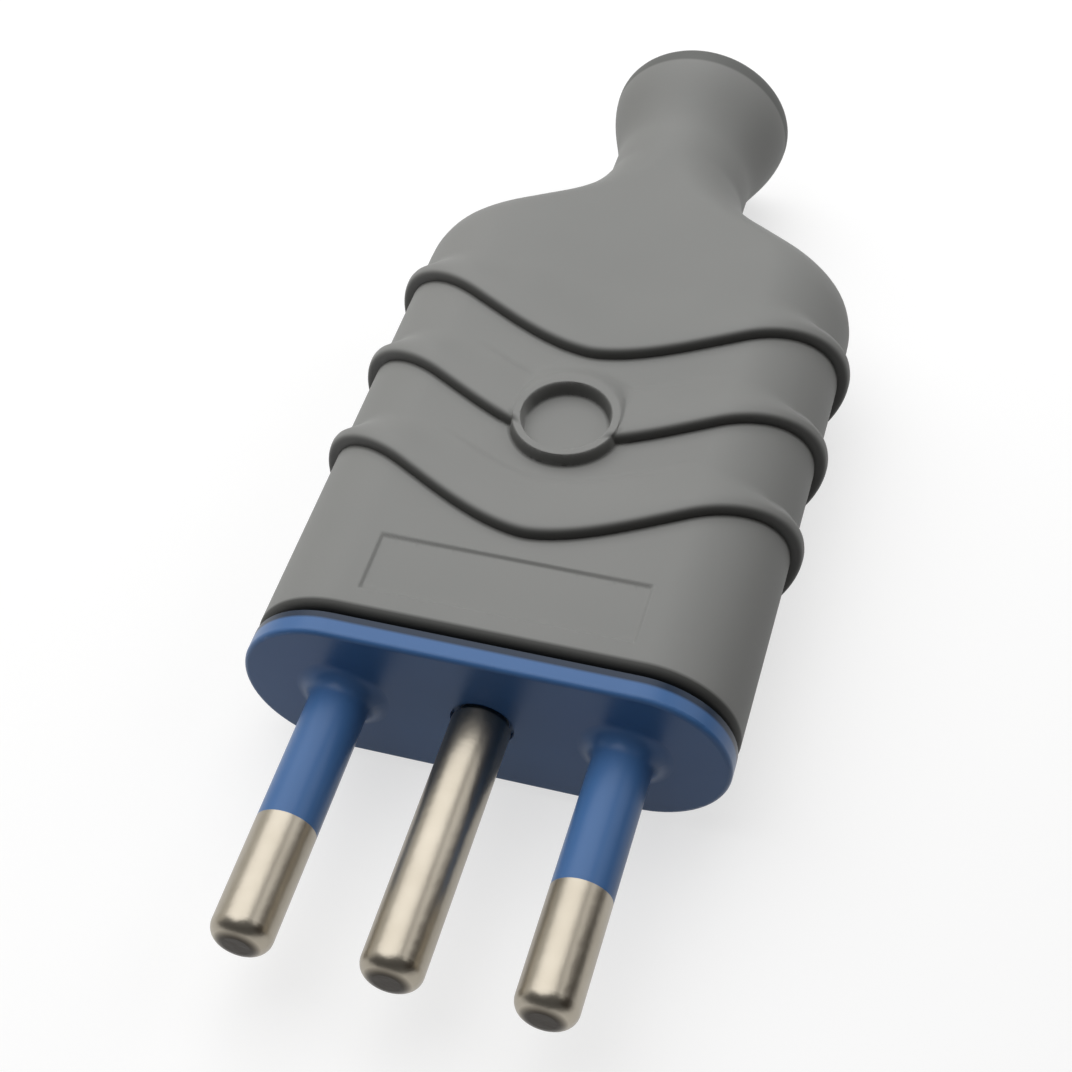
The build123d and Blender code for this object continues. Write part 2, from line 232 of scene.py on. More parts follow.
def makeNickel():
    material, tree = newMaterial("nickelPlatedBrass")
    place = addNode(tree, "ShaderNodeTexCoord").outputs["Object"]
    height = addNode(tree, "ShaderNodeSeparateXYZ", {0: place}).outputs[1]
    # painted dark reflection on the flat end of each pin
    onEnd = addNode(tree, "ShaderNodeMapRange", {
        "Value": height, "From Min": nickelPlate["end"],
        "From Max": nickelPlate["end"] - nickelPlate["endFade"]}).outputs[0]
    endDarkened = addNode(tree, "ShaderNodeMix", {"Factor": onEnd, 6: patchedColour(tree, place, nickelPlate),
                                             7: linearColour(nickelPlate["endReflectionColour"])}, data_type="RGBA")
    dented = unevenNormal(tree, place, nickelPlate["dent"], nickelPlate["dentDepth"],
                          nickelPlate["dentStrength"])
    marks = addNode(tree, "ShaderNodeTexWave", {
        "Vector": place, "Scale": 1 / (nickelPlate["turning"] * waveTurns),
        "Distortion": nickelPlate["turningWobble"], "Detail": 3.0, "Detail Scale": 2.0}, bands_direction="Y")
    turned = addNode(tree, "ShaderNodeBump", {
        "Height": marks.outputs["Fac"], "Normal": dented, "Strength": nickelPlate["turningStrength"],
        "Distance": nickelPlate["turningDepth"]})
    shader = addNode(tree, "ShaderNodeBsdfPrincipled",
                     {"Base Color": endDarkened.outputs[2], "Normal": turned.outputs["Normal"], "Metallic": 1.0,
                      "Roughness": nickelPlate["roughness"]})
    addNode(tree, "ShaderNodeOutputMaterial", {"Surface": shader.outputs["BSDF"]})
    return material


# Mild steel, zinc plated in a barrel: greyish, softly blotched
zincPlate = {
    "colour": "#b9bbbc",
    "patchColour": "#a3a6a9",
    "patch": 0.9 * mm,
    "patchDetail": 3.0,
    "roughness": 0.34,
}


def makeZinc():
    material, tree = newMaterial("zincPlatedSteel")
    place = addNode(tree, "ShaderNodeTexCoord").outputs["Object"]
    shader = addNode(tree, "ShaderNodeBsdfPrincipled",
                     {"Base Color": patchedColour(tree, place, zincPlate), "Metallic": 1.0,
                      "Roughness": zincPlate["roughness"]})
    addNode(tree, "ShaderNodeOutputMaterial", {"Surface": shader.outputs["BSDF"]})
    return material


finishes = {
    "cover_grey": makeSoftPvc(),
    "insert_blue": makePolyamide(),
    "pin_nickel": makeNickel(),
    "screw_steel": makeZinc(),
}
slotOfNode = {part["node"]: part["material_slot"] for part in frame["record"]["subparts"]}
for name, node in nodes.items():
    node.data.materials.clear()
    node.data.materials.append(finishes[slotOfNode[name]])
print("materials made:", len(finishes))


# A Geometry Nodes tree with a named input for each size
def newTree(name, sizes):
    tree = bpy.data.node_groups.new(name, "GeometryNodeTree")
    tree.interface.new_socket("Geometry", in_out="INPUT", socket_type="NodeSocketGeometry")
    tree.interface.new_socket("Geometry", in_out="OUTPUT", socket_type="NodeSocketGeometry")
    tree.interface.new_socket("Finish", in_out="INPUT", socket_type="NodeSocketMaterial")
    for size in sizes:
        tree.interface.new_socket(size, in_out="INPUT", socket_type="NodeSocketFloat")
    return tree, tree.nodes.new("NodeGroupInput").outputs


def endTree(tree, geometry, finish):
    real = addNode(tree, "GeometryNodeRealizeInstances", {"Geometry": geometry})
    dressed = addNode(tree, "GeometryNodeSetMaterial", {"Geometry": real.outputs[0], "Material": finish})
    addNode(tree, "NodeGroupOutput", {"Geometry": dressed.outputs[0]})


# Runs a tree on a piece and keeps the result as its plain mesh
def bakeTree(piece, tree, sizes, finish):
    modifier = piece.modifiers.new(tree.name, "NODES")
    modifier.node_group = tree
    values = dict(sizes, Finish=finish)
    for socket in tree.interface.items_tree:
        if socket.in_out == "INPUT" and socket.name in values:
            modifier[socket.identifier] = values[socket.name]
    evaluated = piece.evaluated_get(bpy.context.evaluated_depsgraph_get())
    mesh = bpy.data.meshes.new_from_object(evaluated)
    piece.modifiers.remove(modifier)
    piece.data = mesh
    mesh.shade_smooth()


def newPiece(name, mesh):
    piece = bpy.data.objects.new(name, mesh)
    bpy.context.scene.collection.objects.link(piece)
    return piece


# Cover: one closed skin whose rows follow the waves of the ribs
cover = {
    "wall": 1.5 * mm,
    "mouthFillet": 0.55 * mm,
    "shoulderStart": 38.0 * mm,
    "shoulderLength": 14.5 * mm,
    "neckLength": 2.5 * mm,
    "neckRadius": 5.5 * mm,
    "rimRadius": 7.2 * mm,
    "rimFillet": 1.2 * mm,
    "boreRadius": 3.7 * mm,
    "boreFillet": 0.8 * mm,
    "ridgeGroove": {"y": 3.65 * mm, "halfLength": 9.05 * mm, "halfWidth": 0.5 * mm, "depth": 0.4 * mm},
    "columns": 224,
    "rowStep": 0.36 * mm,
    "arcSteps": 7,
    "flankSteps": 10,
    "innerSteps": 20,
    "grooveEdge": 0.02 * mm,
    "tolerance": 0.01 * mm,
    "skinTolerance": 0.05 * mm,
    "sharpAngle": 55,
}
# Where the faces are made finer: how far beside the ring and the plate's edge, and how many cuts
fineFaces = {"besideRing": 0.5 * mm, "besidePlate": 0.4 * mm, "cuts": 4}
# How the body is drawn in to the neck: share of the way, of the width and of the thickness
shoulderShape = [
    (0.0, 1.0, 1.0),
    (0.08, 1.0, 0.99),
    (0.17, 0.99, 0.92),
    (0.28, 0.935, 0.72),
    (0.38, 0.81, 0.45),
    (0.48, 0.61, 0.15),
    (0.59, 0.375, -0.1),
    (0.69, 0.21, -0.2),
    (0.79, 0.105, -0.2),
    (0.9, 0.035, -0.1),
    (1.0, 0.0, 0.0),
]
ribs = {
    "First Rib": 11.5 * mm,
    "Rib Pitch": 8.5 * mm,
    "Rib Count": 3.0,
    "Wave Rise": 7.5 * mm,
    "Wave Sharpness": 1.7,
    "Rib Height": 0.79 * mm,
    "Lower Flank": 0.85 * mm,
    "Upper Flank": 6.4 * mm,
    "Upper Flank Side": 1.25 * mm,
    "Roundness": 3.0,
    "Ring Y": 21.1 * mm,
    "Ring Radius": 3.9 * mm,
    "Ring Band": 1.0 * mm,
    "Ring Height": 0.93 * mm,
    "Ring Edge": 0.25 * mm,
    "Ring Run Out": 1.8 * mm,
    # strength of the painted shade under the ribs and round the ring
    "Painted Shade": 0.8,
    "Recess Depth": 0.15 * mm,
    "Plate Half Width": 9.2 * mm,
    "Plate Half Height": 2.4 * mm,
    "Plate Y": 6.5 * mm,
    "Plate Depth": 0.2 * mm,
    "Plate Edge": 0.2 * mm,
}
# Share of the way round between which a rib's upper flank turns from slow to steep
flankTurn = {"from": 0.3, "to": 0.75}
# Where the painted shade lies: heights as shares of a rib's lower flank and of the ring's radius, and how
# fast the ring's painted shade fills in
shadeBand = {
    "ribFoot": -1.35,
    "ribDarkest": -0.95,
    "ribBrow": -0.35,
    "belowRing": -0.45,
    "aboveRecess": 0.35,
    "fillPower": 0.4,
}
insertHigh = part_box("insert_base")[1]
halfWidth, halfThickness = insertHigh[0], insertHigh[2]
coverLow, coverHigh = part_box("cover")
mouthY, coverEnd = coverLow[1], coverHigh[1]
straight = halfWidth - halfThickness
quarter = straight + math.pi * halfThickness / 2
neckY = cover["shoulderStart"] + cover["shoulderLength"]


# A smooth curve through one column of the shoulder's table
def shoulderShare(along, column):
    last = len(shoulderShape) - 2
    i = max(k for k in range(last + 1) if shoulderShape[k][0] <= along or k == 0)
    (a, low), (b, high) = [(shoulderShape[k][0], shoulderShape[k][column]) for k in (i, i + 1)]
    slopes = []
    for k in (i, i + 1):
        before, after = shoulderShape[max(k - 1, 0)], shoulderShape[min(k + 1, last + 1)]
        slopes.append((after[column] - before[column]) / (after[0] - before[0]))
    if i == 0:
        slopes[0] = 0.0
    if i == last:
        slopes[1] = 0.0
    span = b - a
    t = (along - a) / span
    return (low * (1 + 2 * t) * (1 - t) ** 2 + slopes[0] * span * t * (1 - t) ** 2
            + high * t * t * (3 - 2 * t) - slopes[1] * span * t * t * (1 - t))


# Half width and half thickness of the outer skin at a height
def coverSection(y):
    radius = cover["neckRadius"]
    if y <= cover["shoulderStart"]:
        return halfWidth, halfThickness
    if y <= neckY:
        along = (y - cover["shoulderStart"]) / cover["shoulderLength"]
        return (radius + shoulderShare(along, 1) * (halfWidth - radius),
                radius + shoulderShare(along, 2) * (halfThickness - radius))
    flareStart = neckY + cover["neckLength"]
    if y > flareStart:
        t = min((y - flareStart) / (coverEnd - cover["rimFillet"] - flareStart), 1)
        radius += (cover["rimRadius"] - radius) * t * t * (3 - 2 * t)
    return radius, radius


# How far a rib climbs at a share of the way from the middle of a broad side to the narrow side
def waveRise(share):
    return ribs["Wave Rise"] * math.sin(math.pi / 2 * share) ** ribs["Wave Sharpness"]


# The rows, from the inner edge of the mouth over the skin and the lip and back along the inner wall:
# height, how much of the wave the row follows, how far inside the skin it lies, radius if it is round
def coverRows():
    steps = cover["arcSteps"]
    turns = [math.pi / 2 * i / steps for i in range(steps + 1)]
    wall, step = cover["wall"], cover["rowStep"]
    fillet, lip, boreLip = cover["mouthFillet"], cover["rimFillet"], cover["boreFillet"]
    rows = [(mouthY, 0, wall, None)]
    rows += [(mouthY + fillet * (1 - math.cos(a)), 0, fillet * (1 - math.sin(a)), None) for a in turns]
    heights = [mouthY + fillet]
    marks = []
    flankSteps = cover["flankSteps"]
    bends = [math.pi / 2 * k / flankSteps for k in range(flankSteps + 1)]
    for i in range(int(ribs["Rib Count"])):
        middle = ribs["First Rib"] + i * ribs["Rib Pitch"]
        marks += [middle - ribs["Lower Flank"] * math.cos(a) for a in bends[:-1]]
        marks += [middle + ribs["Upper Flank Side"] * math.sin(a) for a in bends]
    marks.append(coverEnd - lip)
    for mark in marks:
        count = max(math.ceil((mark - heights[-1]) / step), 1)
        start = heights[-1]
        heights += [start + (mark - start) * (k + 1) / count for k in range(count)]
    reach = ribs["First Rib"] - 2 * ribs["Lower Flank"] - mouthY
    lastRib = ribs["First Rib"] + (ribs["Rib Count"] - 1) * ribs["Rib Pitch"] + ribs["Upper Flank"]
    for y in heights[1:]:
        t = min((y - mouthY) / reach, 1, max((neckY - y) / (neckY - lastRib), 0))
        rows.append((y, t * t * (3 - 2 * t), 0, None))
    rim, bore = cover["rimRadius"], cover["boreRadius"]
    rows += [(coverEnd - lip + lip * math.sin(a), 0, 0, rim - lip + lip * math.cos(a)) for a in turns[1:]]
    rows += [(coverEnd - boreLip + boreLip * math.cos(a), 0, 0, bore + boreLip * (1 - math.sin(a)))
             for a in turns]
    rows.append((neckY, 0, 0, bore))
    innerSteps = cover["innerSteps"]
    inner = [neckY - i * cover["shoulderLength"] / innerSteps for i in range(innerSteps + 1)]
    groove = cover["ridgeGroove"]
    for side in (1, -1):
        edge = groove["y"] + side * groove["halfWidth"]
        inner += sorted([edge, edge + side * cover["grooveEdge"]], reverse=True)
    return rows + [(y, 0, wall, None) for y in inner]


def coverPoint(row, column):
    y, follow, inset, radius = row
    turn = 4 * column / cover["columns"]
    side, way = int(turn), turn - int(turn)
    share = way if side % 2 == 0 else 1 - way
    y += follow * waveRise(share)
    halfW, halfH = (radius, radius) if radius else [v - inset for v in coverSection(y)]
    flat = halfW - halfH
    along = share * (flat + math.pi * halfH / 2)
    angle = max(along - flat, 0) / halfH
    x = min(along, flat) + halfH * math.sin(angle)
    z = halfH * math.cos(angle)
    groove = cover["ridgeGroove"]
    beside = abs(y - groove["y"]) - groove["halfWidth"]
    inGroove = inset == cover["wall"] and beside < cover["tolerance"]
    if inGroove and x < groove["halfLength"] and y > mouthY:
        z += groove["depth"]
    return (x if side in (0, 1) else -x, y, z if side in (0, 3) else -z)


# Finer faces where a small edge crosses the skin: round the ring and along the plate
def refineSkin(mesh):
    inner = ribs["Ring Radius"] - ribs["Ring Band"] - fineFaces["besideRing"]
    outer = ribs["Ring Radius"] + fineFaces["besideRing"]
    shape = bmesh.new()
    shape.from_mesh(mesh)
    chosen = set()
    for face in shape.faces:
        x, y, z = face.calc_center_median()
        if z < halfThickness - cover["tolerance"] or y > cover["shoulderStart"]:
            continue
        fromRing = math.hypot(x, y - ribs["Ring Y"])
        fromPlate = max(abs(x) - ribs["Plate Half Width"],
                        abs(y - ribs["Plate Y"]) - ribs["Plate Half Height"])
        if inner < fromRing < outer or abs(fromPlate) < fineFaces["besidePlate"]:
            chosen.update(face.edges)
    bmesh.ops.subdivide_edges(shape, edges=list(chosen), cuts=fineFaces["cuts"], use_grid_fill=True)
    shape.to_mesh(mesh)
    shape.free()


# What the tree needs to know of each point: the way round, the outward direction, whether it is skin
def markSkin(mesh):
    for name, kind in (("wayShare", "FLOAT"), ("outward", "FLOAT_VECTOR"), ("skin", "FLOAT")):
        mesh.attributes.new(name, kind, "POINT")
    way, outward, skin = [mesh.attributes[name].data for name in ("wayShare", "outward", "skin")]
    for vertex in mesh.vertices:
        x, y, z = vertex.co
        past = max(abs(x) - straight, 0)
        angle = math.atan2(past, abs(z))
        way[vertex.index].value = (min(abs(x), straight) + halfThickness * angle) / quarter
        outward[vertex.index].vector = (math.copysign(math.sin(angle), x), 0,
                                        math.copysign(math.cos(angle), z))
        outside = math.hypot(past, z) > halfThickness - cover["skinTolerance"]
        skin[vertex.index].value = 1.0 if outside and y < cover["shoulderStart"] else 0.0


# The distance across the nearest rib, with the wave's rise taken off the height
def acrossRib(tree, size, y, share):
    turn = addNode(tree, "ShaderNodeMath", {0: share, 1: math.pi / 2}, operation="MULTIPLY").outputs[0]
    sine = addNode(tree, "ShaderNodeMath", {0: turn}, operation="SINE").outputs[0]
    shape = addNode(tree, "ShaderNodeMath", {0: sine, 1: size["Wave Sharpness"]},
                    operation="POWER").outputs[0]
    rise = addNode(tree, "ShaderNodeMath", {0: shape, 1: size["Wave Rise"]},
                   operation="MULTIPLY").outputs[0]
    level = addNode(tree, "ShaderNodeMath", {0: y, 1: rise}, operation="SUBTRACT").outputs[0]
    fromFirst = addNode(tree, "ShaderNodeMath", {0: level, 1: size["First Rib"]},
                        operation="SUBTRACT").outputs[0]
    ratio = addNode(tree, "ShaderNodeMath", {0: fromFirst, 1: size["Rib Pitch"]},
                    operation="DIVIDE").outputs[0]
    nearest = addNode(tree, "ShaderNodeMath", {0: ratio}, operation="ROUND").outputs[0]
    last = addNode(tree, "ShaderNodeMath", {0: size["Rib Count"], 1: 1.0},
                   operation="SUBTRACT").outputs[0]
    kept = addNode(tree, "ShaderNodeClamp", {"Value": nearest, "Min": 0.0, "Max": last}).outputs[0]
    base = addNode(tree, "ShaderNodeMath", {0: kept, 1: size["Rib Pitch"]},
                   operation="MULTIPLY").outputs[0]
    return addNode(tree, "ShaderNodeMath", {0: fromFirst, 1: base}, operation="SUBTRACT").outputs[0]


# A bead with a steep lower flank; the upper one runs out slowly in the middle of a broad side
def ribBead(tree, size, across, share):
    isUpper = addNode(tree, "ShaderNodeMath", {0: across, 1: 0.0}, operation="GREATER_THAN").outputs[0]
    upper = addNode(tree, "ShaderNodeMapRange", {
        "Value": share, "From Min": flankTurn["from"], "From Max": flankTurn["to"],
        "To Min": size["Upper Flank"], "To Max": size["Upper Flank Side"]}).outputs[0]
    flank = addNode(tree, "ShaderNodeMix", {"Factor": isUpper, 2: size["Lower Flank"], 3: upper},
                    data_type="FLOAT").outputs[0]
    reach = addNode(tree, "ShaderNodeMath", {0: across, 1: flank}, operation="DIVIDE").outputs[0]
    absolute = addNode(tree, "ShaderNodeMath", {0: reach}, operation="ABSOLUTE").outputs[0]
    within = addNode(tree, "ShaderNodeClamp", {"Value": absolute, "Min": 0.0, "Max": 1.0}).outputs[0]
    power = addNode(tree, "ShaderNodeMath", {0: within, 1: size["Roundness"]},
                    operation="POWER").outputs[0]
    rest = addNode(tree, "ShaderNodeMath", {0: 1.0, 1: power}, operation="SUBTRACT").outputs[0]
    inverse = addNode(tree, "ShaderNodeMath", {0: 1.0, 1: size["Roundness"]},
                      operation="DIVIDE").outputs[0]
    steep = addNode(tree, "ShaderNodeMath", {0: rest, 1: inverse}, operation="POWER").outputs[0]
    soft = addNode(tree, "ShaderNodeMapRange", {"Value": within, "To Min": 1.0, "To Max": 0.0},
                   interpolation_type="SMOOTHSTEP").outputs[0]
    bead = addNode(tree, "ShaderNodeMix", {"Factor": isUpper, 2: steep, 3: soft},
                   data_type="FLOAT").outputs[0]
    return addNode(tree, "ShaderNodeMath", {0: bead, 1: size["Rib Height"]},
                   operation="MULTIPLY").outputs[0]


# What the ring and its grime are measured by: the way up and out from its middle, and its edges
def ringMeasures(tree, size, x, y):
    up = addNode(tree, "ShaderNodeMath", {0: y, 1: size["Ring Y"]}, operation="SUBTRACT").outputs[0]
    flatPlace = addNode(tree, "ShaderNodeCombineXYZ", {0: x, 1: up}).outputs[0]
    out = addNode(tree, "ShaderNodeVectorMath", {0: flatPlace}, operation="LENGTH").outputs["Value"]
    innerEdge = addNode(tree, "ShaderNodeMath", {0: size["Ring Radius"], 1: size["Ring Band"]},
                        operation="SUBTRACT").outputs[0]
    innerTop = addNode(tree, "ShaderNodeMath", {0: innerEdge, 1: size["Ring Edge"]},
                       operation="ADD").outputs[0]
    outerTop = addNode(tree, "ShaderNodeMath", {0: size["Ring Radius"], 1: size["Ring Edge"]},
                       operation="SUBTRACT").outputs[0]
    return {"up": up, "out": out, "innerEdge": innerEdge, "innerTop": innerTop, "outerTop": outerTop}


# The ring: a wall at each edge, and on the neck's side an outer one that runs out slowly
def ringWall(tree, size, ring):
    innerWall = addNode(tree, "ShaderNodeMapRange", {
        "Value": ring["out"], "From Min": ring["innerEdge"], "From Max": ring["innerTop"]},
        interpolation_type="SMOOTHSTEP").outputs[0]
    upwards = addNode(tree, "ShaderNodeMath", {0: ring["up"], 1: size["Ring Radius"]},
                      operation="DIVIDE", use_clamp=True).outputs[0]
    runOut = addNode(tree, "ShaderNodeMath", {0: upwards, 1: size["Ring Run Out"]},
                     operation="MULTIPLY").outputs[0]
    outerFoot = addNode(tree, "ShaderNodeMath", {0: size["Ring Radius"], 1: runOut},
                        operation="ADD").outputs[0]
    outerWall = addNode(tree, "ShaderNodeMapRange", {
        "Value": ring["out"], "From Min": outerFoot, "From Max": ring["outerTop"]},
        interpolation_type="SMOOTHSTEP").outputs[0]
    band = addNode(tree, "ShaderNodeMath", {0: innerWall, 1: outerWall}, operation="MULTIPLY").outputs[0]
    return addNode(tree, "ShaderNodeMath", {0: band, 1: size["Ring Height"]},
                   operation="MULTIPLY").outputs[0]


# The recess in the ring and the bare plate below the ribs
def sunkAreas(tree, size, ring, x, y):
    recess = addNode(tree, "ShaderNodeMapRange", {
        "Value": ring["out"], "From Min": ring["innerTop"], "From Max": ring["innerEdge"],
        "To Max": size["Recess Depth"]}).outputs[0]
    besidePlate = addNode(tree, "ShaderNodeMath", {0: y, 1: size["Plate Y"]},
                          operation="SUBTRACT").outputs[0]
    pasts = []
    for distance, half in ((x, size["Plate Half Width"]), (besidePlate, size["Plate Half Height"])):
        far = addNode(tree, "ShaderNodeMath", {0: distance}, operation="ABSOLUTE").outputs[0]
        pasts.append(addNode(tree, "ShaderNodeMath", {0: far, 1: half}, operation="SUBTRACT").outputs[0])
    past = addNode(tree, "ShaderNodeMath", {0: pasts[0], 1: pasts[1]}, operation="MAXIMUM").outputs[0]
    edge = addNode(tree, "ShaderNodeMath", {0: size["Plate Edge"], 1: -1.0},
                   operation="MULTIPLY").outputs[0]
    plate = addNode(tree, "ShaderNodeMapRange", {"Value": past, "From Min": 0.0, "From Max": edge,
                                                 "To Max": size["Plate Depth"]}).outputs[0]
    return addNode(tree, "ShaderNodeMath", {0: recess, 1: plate}, operation="MAXIMUM").outputs[0]


# Painted shade under each rib: darkest beside the foot of its lower flank
def ribShade(tree, size, across):
    levels = {}
    for name in ("ribFoot", "ribDarkest", "ribBrow"):
        levels[name] = addNode(tree, "ShaderNodeMath", {0: size["Lower Flank"], 1: shadeBand[name]},
                               operation="MULTIPLY").outputs[0]
    sides = []
    for name in ("ribFoot", "ribBrow"):
        sides.append(addNode(tree, "ShaderNodeMapRange", {
            "Value": across, "From Min": levels[name], "From Max": levels["ribDarkest"]},
            interpolation_type="SMOOTHSTEP").outputs[0])
    return addNode(tree, "ShaderNodeMath", {0: sides[0], 1: sides[1]}, operation="MULTIPLY").outputs[0]


# Painted shade round the lower outside of the ring and under the upper edge of its recess
def ringShade(tree, size, ring):
    beyond = addNode(tree, "ShaderNodeMath", {0: size["Ring Radius"], 1: size["Ring Edge"]},
                     operation="ADD").outputs[0]
    floorEdge = addNode(tree, "ShaderNodeMath", {0: ring["innerEdge"], 1: size["Ring Edge"]},
                        operation="SUBTRACT").outputs[0]
    outer = (ring["outerTop"], size["Ring Radius"], beyond, shadeBand["belowRing"])
    inner = (ring["innerTop"], ring["innerEdge"], floorEdge, shadeBand["aboveRecess"])
    shades = []
    for top, foot, end, lean in (outer, inner):
        down = addNode(tree, "ShaderNodeMapRange", {"Value": ring["out"], "From Min": top,
                                                    "From Max": foot}).outputs[0]
        filled = addNode(tree, "ShaderNodeMath", {0: down, 1: shadeBand["fillPower"]},
                         operation="POWER").outputs[0]
        fading = addNode(tree, "ShaderNodeMapRange", {"Value": ring["out"], "From Min": end,
                                                      "From Max": foot}).outputs[0]
        reach = addNode(tree, "ShaderNodeMath", {0: size["Ring Radius"], 1: lean},
                        operation="MULTIPLY").outputs[0]
        leaning = addNode(tree, "ShaderNodeMapRange", {"Value": ring["up"], "From Min": 0.0,
                                                       "From Max": reach}).outputs[0]
        band = addNode(tree, "ShaderNodeMath", {0: filled, 1: fading}, operation="MULTIPLY").outputs[0]
        shades.append(addNode(tree, "ShaderNodeMath", {0: band, 1: leaning},
                              operation="MULTIPLY").outputs[0])
    return addNode(tree, "ShaderNodeMath", {0: shades[0], 1: shades[1]}, operation="MAXIMUM").outputs[0]


# Raises the grip ribs and the ring from the skin, sinks the thumb recess and the bare plate, and marks
# where painted shade lies; the ring, the recess and the plate are on the front only
def makeRibTree():
    tree, size = newTree("gripRibs", ribs)
    position = addNode(tree, "GeometryNodeInputPosition").outputs[0]
    x, y, z = addNode(tree, "ShaderNodeSeparateXYZ", {0: position}).outputs
    share = addNode(tree, "GeometryNodeInputNamedAttribute", {"Name": "wayShare"},
                    data_type="FLOAT").outputs[0]
    skin = addNode(tree, "GeometryNodeInputNamedAttribute", {"Name": "skin"},
                   data_type="FLOAT").outputs[0]
    outward = addNode(tree, "GeometryNodeInputNamedAttribute", {"Name": "outward"},
                      data_type="FLOAT_VECTOR").outputs[0]
    isFront = addNode(tree, "ShaderNodeMath", {0: z, 1: 0.0}, operation="GREATER_THAN").outputs[0]
    isBack = addNode(tree, "ShaderNodeMath", {0: 1.0, 1: isFront}, operation="SUBTRACT").outputs[0]
    across = acrossRib(tree, size, y, share)
    ring = ringMeasures(tree, size, x, y)

    # the rib is left out inside the ring
    outsideRing = addNode(tree, "ShaderNodeMapRange", {
        "Value": ring["out"], "From Min": ring["innerTop"], "From Max": ring["outerTop"]}).outputs[0]
    keepRib = addNode(tree, "ShaderNodeMath", {0: outsideRing, 1: isBack},
                      operation="MAXIMUM").outputs[0]
    cutRib = addNode(tree, "ShaderNodeMath", {0: ribBead(tree, size, across, share), 1: keepRib},
                     operation="MULTIPLY").outputs[0]
    frontRing = addNode(tree, "ShaderNodeMath", {0: ringWall(tree, size, ring), 1: isFront},
                        operation="MULTIPLY").outputs[0]
    raised = addNode(tree, "ShaderNodeMath", {0: cutRib, 1: frontRing}, operation="MAXIMUM").outputs[0]
    frontSunk = addNode(tree, "ShaderNodeMath", {0: sunkAreas(tree, size, ring, x, y), 1: isFront},
                        operation="MULTIPLY").outputs[0]

    # painted shade under the ribs and round the ring, stored as the crease attribute
    underRibs = addNode(tree, "ShaderNodeMath", {0: ribShade(tree, size, across), 1: keepRib},
                        operation="MULTIPLY").outputs[0]
    atRing = addNode(tree, "ShaderNodeMath", {0: ringShade(tree, size, ring), 1: isFront},
                     operation="MULTIPLY").outputs[0]
    paintedShade = addNode(tree, "ShaderNodeMath", {0: underRibs, 1: atRing}, operation="MAXIMUM").outputs[0]
    paintedShade = addNode(tree, "ShaderNodeMath", {0: paintedShade, 1: skin}, operation="MULTIPLY").outputs[0]
    paintedShade = addNode(tree, "ShaderNodeMath", {0: paintedShade, 1: size["Painted Shade"]},
                    operation="MULTIPLY").outputs[0]
    marked = addNode(tree, "GeometryNodeStoreNamedAttribute",
                     {"Geometry": size["Geometry"], "Name": "crease", "Value": paintedShade},
                     data_type="FLOAT").outputs[0]

    lift = addNode(tree, "ShaderNodeMath", {0: raised, 1: frontSunk}, operation="SUBTRACT").outputs[0]
    skinLift = addNode(tree, "ShaderNodeMath", {0: lift, 1: skin}, operation="MULTIPLY").outputs[0]
    offset = addNode(tree, "ShaderNodeVectorMath", {0: outward, "Scale": skinLift},
                     operation="SCALE").outputs[0]
    moved = addNode(tree, "GeometryNodeSetPosition", {"Geometry": marked, "Offset": offset})
    endTree(tree, moved.outputs[0], size["Finish"])
    return tree


def makeCover():
    rows = coverRows()
    columns = cover["columns"]
    points = [coverPoint(row, column) for row in rows for column in range(columns)]
    faces = []
    for i in range(len(rows)):
        nextRow = (i + 1) % len(rows)
        for j in range(columns):
            nextColumn = (j + 1) % columns
            faces.append((i * columns + nextColumn, nextRow * columns + nextColumn,
                          nextRow * columns + j, i * columns + j))
    mesh = bpy.data.meshes.new("softCover")
    mesh.from_pydata(points, [], faces)
    refineSkin(mesh)
    markSkin(mesh)
    piece = newPiece("softCover", mesh)
    bakeTree(piece, makeRibTree(), ribs, finishes["cover_grey"])
    piece.data.set_sharp_from_angle(angle=math.radians(cover["sharpAngle"]))
    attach(piece, "root")
    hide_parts("cover")
    print("cover made:", len(rows), "rows,", len(piece.data.polygons), "faces")


makeCover()


# Screws: a turned head with a straight slot and a rolled thread
screwShape = {
    "shankSides": 48,
    "shankRings": 96,
    "headSides": 64,
    "headRings": 8,
    "topRings": 6,
    "crownPower": 3.0,
    "crownDraw": 1.2,
    "slotWidth": 0.6 * mm,
    "slotDepth": 0.7 * mm,
    "sharpAngle": 35,
}
screwSizes = ["Head Radius", "Head Height", "Shank Radius", "Length", "Slot Width", "Slot Depth",
              "Thread Pitch", "Thread Depth"]


